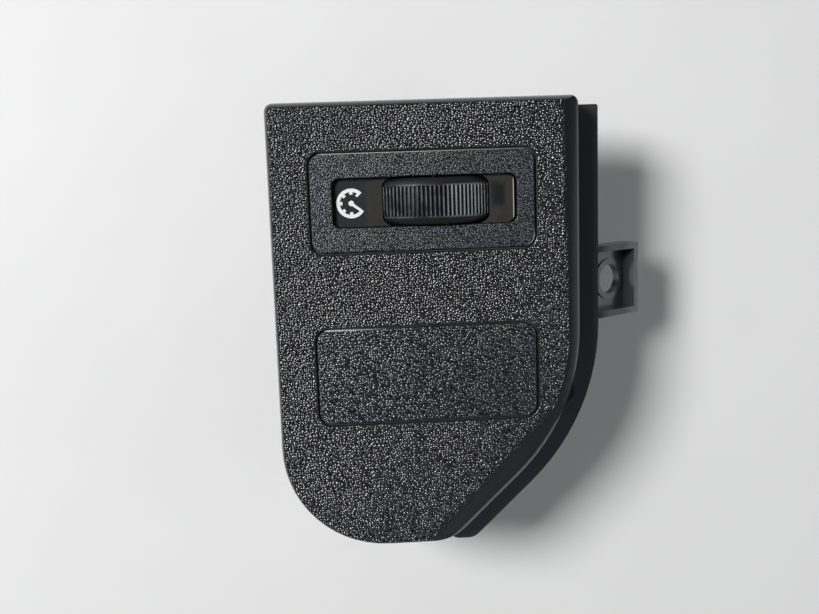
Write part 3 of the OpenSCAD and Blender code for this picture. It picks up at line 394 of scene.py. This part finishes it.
def window_finish(name):
    """Smoked plate: cool behind the symbol, warmer to the right, with a dark spot, painted highlights along
    the lower edge and on the lip, and painted shade along the left and top borders.
    """
    # Each pair is the ends of a fade, from home
    warm_x, pale_x = (-11.4, -10.6), (5.0, 13.0)
    spot_x, spot_y, spot_tall, spot_r = 14.9, 10.4, 1.7, (2.0, 3.6)
    low_y, low_x = (4.9, 5.05), (7.0, 12.0)
    left_x, top_y, shade_end = (-17.0, -15.2), (14.0, 15.0), (-8.0, -2.0)
    lip_z, lip_x = (-0.72, -0.68), (17.62, 17.7)
    cloud_size, cloud_depth, scuff_size = 2.2, 0.006, 0.35
    wander_size, wander_by = 1.5, 1.2
    t = Tree(name)
    x, y, z = t.from_point(home)
    cloud = t.noise(cloud_size, 4.0)
    wander = t.math("MULTIPLY", t.noise(wander_size), wander_by)

    tone = t.mix(t.ramp(x, *warm_x), grey(0.022, -0.1), grey(0.03, 0.04))
    tone = t.mix(t.ramp(x, *pale_x), tone, grey(0.034, 0.05))

    wide = t.math("ABSOLUTE", t.math("SUBTRACT", x, spot_x))
    tall = t.math("ABSOLUTE", t.math("SUBTRACT", y, spot_y))
    away = t.math("ADD", wander, t.math("MAXIMUM", t.math("MULTIPLY", wide, spot_tall), tall))
    tone = t.mix(t.fall(away, *spot_r), tone, grey(0.012, -0.05))

    # Painted highlight along the lower edge on the right
    low_edge = t.all_of(t.fall(y, *low_y), t.ramp(x, *low_x))
    tone = t.mix(low_edge, tone, grey(0.08, 0.1))
    tone = t.mix(t.ramp(cloud, 0.45, 0.72, 0.0, 0.4), tone, grey(0.018, 0.02))

    # Dark borders on the left and along the top, where the light doesn't reach
    left = t.fall(t.math("ADD", x, wander), *left_x)
    top = t.ramp(t.math("ADD", y, wander), *top_y, 0.0, 0.8)
    shade = t.all_of(t.math("MAXIMUM", left, top), t.fall(x, *shade_end))
    tone = t.mix(shade, tone, grey(0.006, -0.1))

    # Painted highlight on the lip at the right end, where the light catches it
    tone = t.mix(t.all_of(t.ramp(z, *lip_z), t.ramp(x, *lip_x)), tone, grey(0.36, 0.12))

    shine = t.ramp(t.noise(scuff_size, 3.0), 0.35, 0.7, 0.3, 0.42)
    height = t.math("MULTIPLY", cloud, cloud_depth)
    return t.finish(height, Base_Color=tone, Roughness=shine, Specular_IOR_Level=0.45)


def wheel_finish(name):
    """Black moulding: dull on its rounded sides, with glossier crests painted paler as a painted highlight.
    """
    band_end, crest_r = (2.9, 3.4), (wheel_r - 0.3, wheel_r - 0.08)
    # The painted highlight is strongest on the crests right of the middle, between these two fades
    highlight_from, highlight_to, highlight_most = (0.5, 3.5), (7.0, 11.0), 0.7
    cloud_size, skin_size, skin_depth = 2.5, 0.2, 0.002
    t = Tree(name)
    x, y, z = t.from_point(wheel_mid)
    ribs = t.fall(t.math("ABSOLUTE", y), *band_end)
    radius = t.math("SQRT", t.math("MULTIPLY_ADD", x, x, t.math("MULTIPLY", z, z)))
    crest = t.all_of(ribs, t.ramp(radius, *crest_r))
    # Painted highlight: the crests are painted paler in uneven patches, and palest right of the middle
    crest_highlight_tone = t.mix(t.ramp(t.noise(cloud_size, 3.0), 0.38, 0.66), tint(0.03, 0.1), tint(0.11, 0.1))
    right_highlight = t.all_of(t.ramp(x, *highlight_from), t.fall(x, *highlight_to), highlight_most)
    crest_highlight_tone = t.mix(right_highlight, crest_highlight_tone, tint(0.24, 0.1))
    tone = t.mix(crest, t.mix(ribs, tint(0.003, 0.1), tint(0.01, 0.1)), crest_highlight_tone)
    skin = t.noise(skin_size, 3.0)
    shine = t.math("ADD", t.ramp(ribs, 0.0, 1.0, 0.6, 0.3), t.spread(skin, -0.04, 0.04))
    height = t.math("MULTIPLY", skin, skin_depth)
    return t.finish(height, Base_Color=tone, Roughness=shine, Specular_IOR_Level=0.3)


def board_finish(name):
    """Green lacquer over glass cloth."""
    thread, thread_depth, cloud_size = 2.5, 0.004, 4.0
    t = Tree(name)
    weave = t.tree.nodes.new("ShaderNodeTexWave")
    t.put(weave.inputs["Vector"], t.coord.outputs["Object"])
    weave.inputs["Scale"].default_value = 1.0 / (thread * MM)
    weave.inputs["Distortion"].default_value = 1.5
    cloth = weave.outputs["Fac"]
    cloud = t.noise(cloud_size)
    tone = t.mix(t.ramp(cloth, 0.2, 0.8), (0.03, 0.11, 0.045, 1), (0.05, 0.16, 0.07, 1))
    tone = t.mix(t.ramp(cloud, 0.4, 0.7, 0.0, 0.4), tone, (0.025, 0.08, 0.035, 1))
    shine = t.spread(cloud, 0.22, 0.34)
    return t.finish(t.math("MULTIPLY", cloth, thread_depth), Base_Color=tone, Roughness=shine)


def print_finish(name):
    """White print with a faintly uneven edge and tone."""
    cloud_size, cloud_depth = 0.5, 0.002
    t = Tree(name)
    cloud = t.noise(cloud_size, 3.0)
    tone = t.mix(t.spread(cloud), grey(0.86), grey(0.76, 0.01))
    shine = t.spread(cloud, 0.4, 0.5)
    return t.finish(t.math("MULTIPLY", cloud, cloud_depth), Base_Color=tone, Roughness=shine)


# Each material slot, the function that makes its finish, and what that function is given
LOOKS = {
    "panel_plastic": (grained, dict(
        crown=tint(0.012, 0.3), valley=tint(0.0004), pitch=0.45, depth=0.235, rough=0.24, level=0.76,
        add_painted_highlights=panel_painted_highlight, smooth=(0.0068, 0.0078, 0.0092, 1),
    )),
    "blank_plastic": (grained, dict(
        crown=tint(0.03, 0.25), valley=tint(0.001), pitch=0.43, depth=0.2, rough=0.26, level=0.7,
        add_painted_highlights=plug_painted_highlight,
    )),
    "bezel_plastic": (grained, dict(
        crown=tint(0.055, 0.2), valley=tint(0.003), pitch=0.33, depth=0.14, rough=0.29, level=0.5,
        add_painted_highlights=bezel_painted_highlights,
    )),
    "window_plastic": (window_finish, {}),
    "wheel_plastic": (wheel_finish, {}),
    "case_plastic": (satin, dict(colour=grey(0.014), rough=0.42, level=0.45, pitch=0.5, depth=0.004)),
    "holder_plastic": (satin, dict(colour=grey(0.17), rough=0.45)),
    "connector_nylon": (satin, dict(
        colour=grey(0.6, 0.07), rough=0.42, level=0.5, pitch=0.4, depth=0.003, patch=5.0, contrast=0.08,
    )),
    "clear_acrylic": (clear, dict(colour=(0.86, 0.9, 0.92, 1), rough=0.06)),
    "lamp_glass": (clear, dict(colour=(0.9, 0.92, 0.93, 1), rough=0.03)),
    "board_laminate": (board_finish, {}),
    "carbon_track": (satin, dict(colour=grey(0.01), rough=0.55, level=0.3, pitch=0.1)),
    "epoxy": (satin, dict(colour=grey(0.014), rough=0.5, pitch=0.15, depth=0.004)),
    "resistor_ceramic": (satin, dict(
        colour=(0.5, 0.37, 0.21, 1), rough=0.38, level=0.5, pitch=0.4, depth=0.003, patch=2.0, contrast=0.15,
    )),
    "capacitor_sleeve": (satin, dict(
        colour=(0.02, 0.04, 0.15, 1), rough=0.24, level=0.5, pitch=0.6, patch=3.0, contrast=0.2,
    )),
    "terminal_brass": (metal, dict(colour=(0.72, 0.55, 0.27, 1), rough=0.3)),
    "spring_bronze": (metal, dict(colour=(0.7, 0.45, 0.22, 1), rough=0.32, axis=0)),
    "steel": (metal, dict(colour=(0.6, 0.6, 0.61, 1), rough=0.28, axis=1)),
    "spring_steel": (metal, dict(colour=(0.42, 0.43, 0.45, 1), rough=0.34)),
    "aluminium_sheet": (metal, dict(colour=(0.76, 0.77, 0.78, 1), rough=0.34)),
}
FINISH = {slot: make(slot, **look) for slot, (make, look) in LOOKS.items()}

# Pieces


def dress(obj, material):
    obj.data.materials.clear()
    obj.data.materials.append(material)


def add_piece(name, mesh, body, slot, material=None):
    """A new piece that rides on a body, in its slot's finish or in a material of its own."""
    obj = bpy.data.objects.new(name, mesh)
    bpy.context.scene.collection.objects.link(obj)
    dress(obj, material or FINISH[slot])
    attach(obj, body)
    return obj


# Points closer than MERGED_WITHIN are merged, and faces that turn by less than FLAT_WITHIN are joined.
# Edges that turn by more than ROUNDED_FROM are rounded, and those left over CREASED_FROM stay creases.
MERGED_WITHIN = 0.002 * MM
FLAT_WITHIN = math.radians(0.3)
ROUNDED_FROM = math.radians(40)
CREASED_FROM = math.radians(32)


def above(depth):
    """A test for edges that lie less than a depth below the face."""
    return lambda a, b: min(a.z, b.z) > FACE_Z - depth


def finished(node, radius, where=above(math.inf)):
    """A finely finished copy that stands for a CAD node: true rounded edges and smooth shading.

    radius is that of the edges, in millimetres, and where tests which of them are rounded.
    """
    mesh = nodes[node].data.copy()
    mesh.name = node + "_finished"
    bm = bmesh.new()
    bm.from_mesh(mesh)
    bmesh.ops.remove_doubles(bm, verts=bm.verts, dist=MERGED_WITHIN)
    bmesh.ops.dissolve_limit(bm, angle_limit=FLAT_WITHIN, verts=bm.verts, edges=bm.edges)
    edges = [
        e for e in bm.edges
        if len(e.link_faces) == 2 and e.is_convex and e.calc_face_angle(0) > ROUNDED_FROM
        and where(*(v.co for v in e.verts))
    ]
    bmesh.ops.bevel(
        bm, geom=edges, offset=radius * MM, offset_type="OFFSET", segments=3, profile=0.5,
        affect="EDGES", clamp_overlap=True,
    )
    bm.to_mesh(mesh)
    bm.free()
    mesh.shade_smooth()
    mesh.set_sharp_from_angle(angle=CREASED_FROM)
    obj = add_piece(node + "_finished", mesh, body_of[node], slot_of[node])
    weigh = obj.modifiers.new("even_normals", "WEIGHTED_NORMAL")
    weigh.keep_sharp = True
    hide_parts(node)


for node, obj in nodes.items():
    dress(obj, FINISH[slot_of[node]])

# The window plate lies in a recess, and its upper edges are those above this depth
PLATE_EDGES = 1.4 * MM

finished("trim_panel", 0.25, above(ON_FACE))
finished("blank_plug", 0.35, above(ON_FACE))
finished("dimmer_bezel", 0.35, above(ON_FACE))
finished("window_plate", 0.08, above(PLATE_EDGES))
finished("thumbwheel", 0.1)
finished("case_lower", 0.12)
finished("case_upper", 0.12)
finished("connector_block", 0.12)
finished("lamp_holder", 0.1)
for i in range(1, 5):
    finished(f"clip_{i}", 0.06)


def prism(name, outline, low_z, high_z):
    """Closed prism over a flat outline, given in millimetres."""
    bm = bmesh.new()
    low = [bm.verts.new((x * MM, y * MM, low_z * MM)) for x, y in outline]
    high = [bm.verts.new((x * MM, y * MM, high_z * MM)) for x, y in outline]
    bm.faces.new(high)
    bm.faces.new(low[::-1])
    for i in range(len(outline)):
        j = (i + 1) % len(outline)
        bm.faces.new((low[i], low[j], high[j], high[i]))
    bmesh.ops.recalc_face_normals(bm, faces=bm.faces)
    mesh = bpy.data.meshes.new(name)
    bm.to_mesh(mesh)
    bm.free()
    return mesh


def dial_symbol():
    """White print: an open dial with ticks and a needle, as dimmers carry, drawn as one outline.

    Lengths are in millimetres. Angles are in degrees, anticlockwise from the right.
    """
    from_home = Vector((-13.91, 9.5, 0))
    out_r, in_r, tick_r, hub_r, end_r = 2.88, 2.21, 1.71, 0.53, 1.67
    needle_w, tick_w = 0.5, 0.64
    needle, ticks = 322, (270, 225, 180, 135, 90)
    # The ring starts at the first angle, and its end there widens inwards up to the other two
    start, end_from, end_to = 44, 57, 61
    # Half the angle of the hub that the needle covers
    hub_gap = 32
    # The needle's tip, a little wider than the needle and cut slightly short
    tip_from, tip_to, tip_short = needle - 3, needle + 5, 0.03
    # The plate's depth below the face, and how far the print reaches into the plate and out of it
    plate_depth, sunk, proud = 1.25, 0.005, 0.02
    cx, cy, face_z = home / MM + from_home

    def polar(r, deg):
        return cx + r * math.cos(math.radians(deg)), cy + r * math.sin(math.radians(deg))

    def off_axis(r, side, deg):
        """Point at the distance r along a bar's direction and side off its middle line."""
        c, s = math.cos(math.radians(deg)), math.sin(math.radians(deg))
        return cx + r * c - side * s, cy + r * s + side * c

    def arc(r, a, b, steps):
        return [polar(r, a + (b - a) * i / steps) for i in range(steps + 1)]

    outline = arc(out_r, start, tip_from, 70)
    outline.append(polar(out_r - tip_short, tip_to))
    outline.append(off_axis(hub_r, needle_w / 2, needle))
    outline += arc(hub_r, needle + hub_gap, needle + 360 - hub_gap, 24)
    half_needle = math.degrees(needle_w / 2 / in_r)
    half_tick = math.degrees(tick_w / 2 / in_r)
    at = needle - half_needle
    for deg in ticks:
        outline += arc(in_r, at, deg + half_tick, 8)
        outline += [off_axis(tick_r, tick_w / 2, deg), off_axis(tick_r, -tick_w / 2, deg)]
        at = deg - half_tick
    outline += arc(in_r, at, end_from, 8)
    outline += [polar(end_r, end_to), polar(end_r, start)]
    plate_z = face_z - plate_depth
    return prism("dial_symbol", outline, plate_z - sunk, plate_z + proud)


add_piece("dial_symbol", dial_symbol(), "root", "window_plastic", print_finish("white_print"))


def rounded(x0, y0, x1, y1, r):
    """Outline of a rounded rectangle, counter-clockwise."""
    steps = 12
    corners = ((x1 - r, y1 - r, 0), (x0 + r, y1 - r, 90), (x0 + r, y0 + r, 180), (x1 - r, y0 + r, 270))
    outline = []
    for cx, cy, start in corners:
        for i in range(steps + 1):
            angle = math.radians(start + 90 * i / steps)
            outline.append((cx + r * math.cos(angle), cy + r * math.sin(angle)))
    return outline


def groove_shade_strip(name, node, corner_r, material):
    """Dark strip in the groove round a flush piece, put there as painted shade so the groove reads dark and
    the light behind it doesn't show.
    """
    width, thickness, depth = 0.34, 0.5, 0.7
    face = [p / MM for p in points(node) if p.z > FACE_Z - ON_FRONT]
    x0, x1 = min(p.x for p in face), max(p.x for p in face)
    y0, y1 = min(p.y for p in face), max(p.y for p in face)
    inner = rounded(x0, y0, x1, y1, corner_r)
    outer = rounded(x0 - width, y0 - width, x1 + width, y1 + width, corner_r + width)
    top = FACE_Z / MM - depth
    low = top - thickness
    rings = ((inner, top), (outer, top), (outer, low), (inner, low))
    verts = [(x * MM, y * MM, z * MM) for ring, z in rings for x, y in ring]
    n = len(inner)
    faces = [
        (a * n + i, b * n + i, b * n + (i + 1) % n, a * n + (i + 1) % n)
        for a, b in ((0, 1), (1, 2), (2, 3), (3, 0)) for i in range(n)
    ]
    mesh = bpy.data.meshes.new(name)
    mesh.from_pydata(verts, [], faces)
    mesh.validate()
    add_piece(name, mesh, "root", "panel_plastic", material)


# Painted shade: dark strips in the grooves round the bezel and the plug
groove_shade_finish = satin("groove_shade_black", grey(0.045), rough=0.8, level=0.2, pitch=0.12, depth=0.02)
groove_shade_strip("dimmer_groove_shade", "dimmer_bezel", corner_r=2.3, material=groove_shade_finish)
groove_shade_strip("plug_groove_shade", "blank_plug", corner_r=2.4, material=groove_shade_finish)

# Floor


def floor_finish(name):
    """Pale matt surface with slow changes of tone and a fine speckle."""
    cloud_size, speck_size, speck_depth = 60.0, 1.1, 0.004
    t = Tree(name)
    cloud = t.noise(cloud_size, 3.0)
    speck = t.noise(speck_size)
    tone = t.mix(t.spread(cloud), (0.745, 0.745, 0.74, 1), (0.77, 0.77, 0.765, 1))
    shine = t.spread(speck, 0.6, 0.7)
    height = t.math("MULTIPLY", speck, speck_depth)
    return t.finish(height, Base_Color=tone, Roughness=shine, Specular_IOR_Level=0.2)


# Half the floor's side, in metres, and its drop under the part, so that the two share no plane
FLOOR_HALF = 1.6
FLOOR_GAP = 0.05 * MM

floor_mesh = bpy.data.meshes.new("floor")
corners = [(x * FLOOR_HALF, y * FLOOR_HALF, 0) for x, y in ((-1, -1), (1, -1), (1, 1), (-1, 1))]
floor_mesh.from_pydata(corners, [], [(0, 1, 2, 3)])
floor = bpy.data.objects.new("floor", floor_mesh)
bpy.context.scene.collection.objects.link(floor)
floor.location.z = -FLOOR_GAP
dress(floor, floor_finish("pale_floor"))

# Light: two soft lamps in a plain room, which point at the middle of the part
LAMP_TARGET = Vector((0, 0, 20 * MM))


def lamp(name, direction, distance, size, watts):
    """A round lamp in a direction from its target, at a distance in metres."""
    data = bpy.data.lights.new(name, "AREA")
    data.shape = "DISK"
    data.size = size
    data.energy = watts
    obj = bpy.data.objects.new(name, data)
    bpy.context.scene.collection.objects.link(obj)
    aim = Vector(direction).normalized()
    obj.location = LAMP_TARGET + aim * distance
    obj.rotation_euler = aim.to_track_quat("Z", "Y").to_euler()


lamp("key", direction=(-29, 16, 37), distance=1.15, size=0.36, watts=14.6)
lamp("side", direction=(0.96, -0.2, 0.9), distance=0.9, size=0.5, watts=0.45)

# The room's walls are pale and its ceiling is darker. Heights go from 0, level, to 1, overhead.
WALL_TOP, CEILING_FROM = 0.15, 0.55
WALL_LIGHT, CEILING_LIGHT = 1.25, 0.04

world = bpy.data.worlds.new("studio")
bpy.context.scene.world = world
world.use_nodes = True
room = world.node_tree
sky = room.nodes["Background"]
sky.inputs["Color"].default_value = (0.95, 0.98, 1.0, 1)
way = room.nodes.new("ShaderNodeTexCoord")
split = room.nodes.new("ShaderNodeSeparateXYZ")
walls = room.nodes.new("ShaderNodeMapRange")
walls.interpolation_type = "SMOOTHSTEP"
walls.inputs["From Min"].default_value = WALL_TOP
walls.inputs["From Max"].default_value = CEILING_FROM
walls.inputs["To Min"].default_value = WALL_LIGHT
walls.inputs["To Max"].default_value = CEILING_LIGHT
room.links.new(way.outputs["Generated"], split.inputs[0])
room.links.new(split.outputs["Z"], walls.inputs["Value"])
room.links.new(walls.outputs[0], sky.inputs["Strength"])

# Camera, solved from the outlines of the bezel and the plug in the photograph
IMAGE_WIDTH_PX = 819
FOCAL_PX = 930
SENSOR_MM = 36
EYE_FROM_HOME = Vector((-11.6, 15.58, 180.88)) * MM
ROLL, PITCH, YAW = math.radians(1.9), math.radians(8.384), math.radians(2.626)

camera_data = bpy.data.cameras.new("camera")
camera = bpy.data.objects.new("camera", camera_data)
bpy.context.scene.collection.objects.link(camera)
camera_data.sensor_width = SENSOR_MM
camera_data.lens = SENSOR_MM * FOCAL_PX / IMAGE_WIDTH_PX
camera_data.clip_start = 10 * MM
tilt = Matrix.Rotation(ROLL, 3, "Z") @ Matrix.Rotation(PITCH, 3, "X") @ Matrix.Rotation(YAW, 3, "Y")
camera.matrix_world = Matrix.Translation(home + EYE_FROM_HOME) @ tilt.transposed().to_4x4()
bpy.context.scene.camera = camera

bpy.context.scene.view_settings.view_transform = "Standard"
